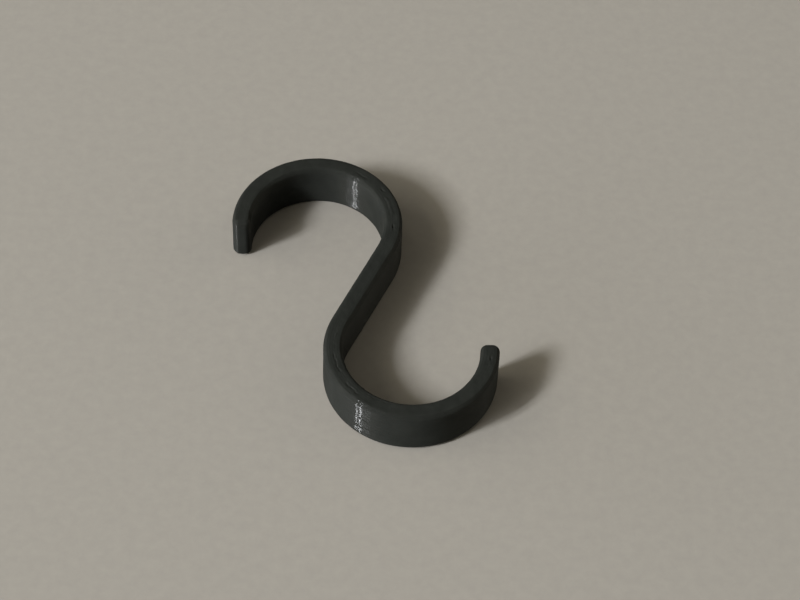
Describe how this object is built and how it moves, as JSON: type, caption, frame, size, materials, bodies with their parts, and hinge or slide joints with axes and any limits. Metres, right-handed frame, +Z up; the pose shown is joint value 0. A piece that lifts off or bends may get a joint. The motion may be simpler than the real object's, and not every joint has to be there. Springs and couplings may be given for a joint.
{
  "type": "s hook",
  "caption": "Flat one-piece plastic S hook: two equal round loops open to opposite sides, joined by a straight leaning shank, with rounded edges and blunt tips.",
  "frame": {"origin": "middle of the shank, on the face that the hook lies on, which is the centre of its outline", "axes": "+Z up out of the hook's flat side; +Y from the lower loop towards the upper one, parallel to both tips; +X towards the side that the lower loop opens to"},
  "size_m": [0.0564, 0.0684, 0.011],
  "materials": {
    "printed_plastic": "satin"
  },
  "bodies": {
    "root": {"s_hook": "printed_plastic"}
  },
  "joints": []
}
